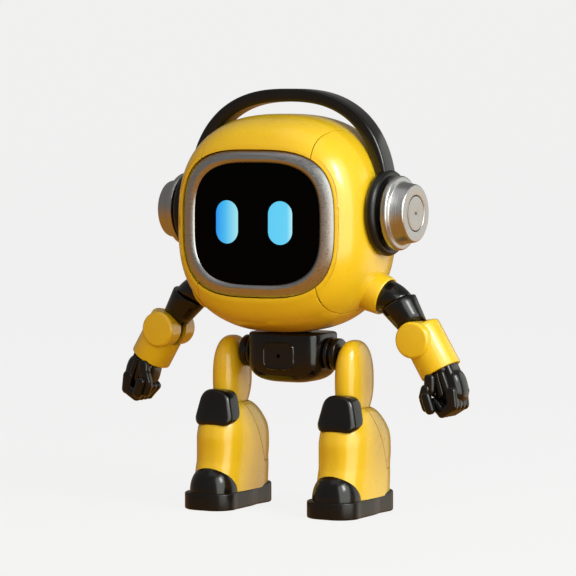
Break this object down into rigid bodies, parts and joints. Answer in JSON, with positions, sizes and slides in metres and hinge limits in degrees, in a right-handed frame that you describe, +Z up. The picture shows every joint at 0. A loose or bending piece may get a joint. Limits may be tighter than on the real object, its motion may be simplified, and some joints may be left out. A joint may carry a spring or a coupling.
{
  "type": "desk robot",
  "caption": "Small legged desk robot with a rounded head, a screen face with glowing eyes, a headband with ear drums, jointed arms and boots.",
  "frame": {"origin": "on the ground under the middle of the bounding box, between the boots", "axes": "+Z up, the robot faces -Y, its own left is +X"},
  "size_m": [0.1846, 0.0754, 0.1979],
  "materials": {
    "yellow_plastic": "glossy moulded plastic",
    "black_plastic": "glossy black plastic",
    "cushion_rubber": "satin soft rubber",
    "sole_rubber": "satin moulded rubber",
    "brushed_metal": "circular brushed",
    "screen_black": "polished",
    "eye_glow": "lit panel",
    "inner_frame": "moulded",
    "circuit_board": "solder mask",
    "battery_wrap": "shrink wrap",
    "steel_pin": "ground"
  },
  "bodies": {
    "pelvis": {"pelvis_housing": "black_plastic", "pelvis_panel": "black_plastic", "waist_servo": "inner_frame", "hip_shaft_left": "black_plastic", "hip_shaft_right": "black_plastic"},
    "head": {"head_shell_left": "yellow_plastic", "head_shell_right": "yellow_plastic", "head_shell_top": "yellow_plastic", "head_shell_bottom": "yellow_plastic", "head_back_cover": "yellow_plastic", "face_bezel": "brushed_metal", "screen_lens": "screen_black", "eye_lights": "eye_glow", "display_module": "inner_frame", "head_frame": "inner_frame", "neck_post": "black_plastic", "main_board": "circuit_board", "battery_pack": "battery_wrap", "speaker": "inner_frame", "headband": "black_plastic", "ear_cushion_left": "cushion_rubber", "ear_cushion_right": "cushion_rubber", "ear_base_left": "black_plastic", "ear_base_right": "black_plastic", "ear_drum_left": "brushed_metal", "ear_drum_right": "brushed_metal", "shoulder_collar_left": "yellow_plastic", "shoulder_collar_right": "yellow_plastic"},
    "ear_button_left": {"ear_button_left": "brushed_metal"},
    "shoulder_left": {"shoulder_knuckle_left": "black_plastic"},
    "upper_arm_left": {"upper_arm_left": "black_plastic"},
    "forearm_left": {"forearm_left": "yellow_plastic", "elbow_cap_left": "yellow_plastic", "elbow_pin_left": "yellow_plastic"},
    "hand_left": {"palm_left": "black_plastic", "fingers_left": "black_plastic"},
    "thigh_left": {"thigh_inner_left": "yellow_plastic", "thigh_outer_left": "yellow_plastic"},
    "foot_left": {"boot_left": "yellow_plastic", "calf_cover_left": "yellow_plastic", "knee_pad_left": "black_plastic", "toe_cap_left": "black_plastic", "sole_left": "sole_rubber", "knee_pin_left": "steel_pin"},
    "ear_button_right": {"ear_button_right": "brushed_metal"},
    "shoulder_right": {"shoulder_knuckle_right": "black_plastic"},
    "upper_arm_right": {"upper_arm_right": "black_plastic"},
    "forearm_right": {"forearm_right": "yellow_plastic", "elbow_cap_right": "yellow_plastic", "elbow_pin_right": "yellow_plastic"},
    "hand_right": {"palm_right": "black_plastic", "fingers_right": "black_plastic"},
    "thigh_right": {"thigh_inner_right": "yellow_plastic", "thigh_outer_right": "yellow_plastic"},
    "foot_right": {"boot_right": "yellow_plastic", "calf_cover_right": "yellow_plastic", "knee_pad_right": "black_plastic", "toe_cap_right": "black_plastic", "sole_right": "sole_rubber", "knee_pin_right": "steel_pin"}
  },
  "joints": [
    {"name": "neck_yaw", "type": "hinge", "parent": "pelvis", "child": "head", "pos_m": [0, 0.0004, 0.0829], "axis": [0, 0, 1], "range_deg": [-60, 60]},
    {"name": "ear_button_left_press", "type": "slide", "parent": "head", "child": "ear_button_left", "axis": [-1, 0, 0], "range_m": [0, 0.0012], "stiffness_N_per_m": 300, "springref_m": -0.0003},
    {"name": "shoulder_left_swing", "type": "hinge", "parent": "head", "child": "shoulder_left", "pos_m": [0.0515, -0.00025, 0.1009], "axis": [-0.8477, 0, 0.5305], "range_deg": [-60, 120]},
    {"name": "upper_arm_left_twist", "type": "hinge", "parent": "shoulder_left", "child": "upper_arm_left", "pos_m": [0.0565, -0.00025, 0.0975], "axis": [0.5036, 0, -0.864], "range_deg": [-45, 45]},
    {"name": "elbow_left", "type": "hinge", "parent": "upper_arm_left", "child": "forearm_left", "pos_m": [0.0684, -0.00025, 0.0829], "axis": [0, 1, 0], "range_deg": [0, 38]},
    {"name": "wrist_left", "type": "hinge", "parent": "forearm_left", "child": "hand_left", "pos_m": [0.07849, -0.00025, 0.06831], "axis": [0.512, 0, -0.859], "range_deg": [-60, 60]},
    {"name": "hip_left", "type": "hinge", "parent": "pelvis", "child": "thigh_left", "pos_m": [0.033, 0.0004, 0.0739], "axis": [-1, 0, 0], "range_deg": [-30, 45]},
    {"name": "knee_left", "type": "hinge", "parent": "thigh_left", "child": "foot_left", "pos_m": [0.033, 0, 0.0439], "axis": [1, 0, 0], "range_deg": [0, 30]},
    {"name": "ear_button_right_press", "type": "slide", "parent": "head", "child": "ear_button_right", "axis": [1, 0, 0], "range_m": [0, 0.0012], "stiffness_N_per_m": 300, "springref_m": -0.0003},
    {"name": "shoulder_right_swing", "type": "hinge", "parent": "head", "child": "shoulder_right", "pos_m": [-0.0515, -0.00025, 0.1009], "axis": [-0.8477, 0, -0.5305], "range_deg": [-60, 120]},
    {"name": "upper_arm_right_twist", "type": "hinge", "parent": "shoulder_right", "child": "upper_arm_right", "pos_m": [-0.0565, -0.00025, 0.0975], "axis": [0.5036, 0, 0.864], "range_deg": [-45, 45]},
    {"name": "elbow_right", "type": "hinge", "parent": "upper_arm_right", "child": "forearm_right", "pos_m": [-0.0684, -0.00025, 0.0829], "axis": [0, -1, 0], "range_deg": [0, 38]},
    {"name": "wrist_right", "type": "hinge", "parent": "forearm_right", "child": "hand_right", "pos_m": [-0.07849, -0.00025, 0.06831], "axis": [0.512, 0, 0.859], "range_deg": [-60, 60]},
    {"name": "hip_right", "type": "hinge", "parent": "pelvis", "child": "thigh_right", "pos_m": [-0.033, 0.0004, 0.0739], "axis": [-1, 0, 0], "range_deg": [-30, 45]},
    {"name": "knee_right", "type": "hinge", "parent": "thigh_right", "child": "foot_right", "pos_m": [-0.033, 0, 0.0439], "axis": [1, 0, 0], "range_deg": [0, 30]}
  ]
}
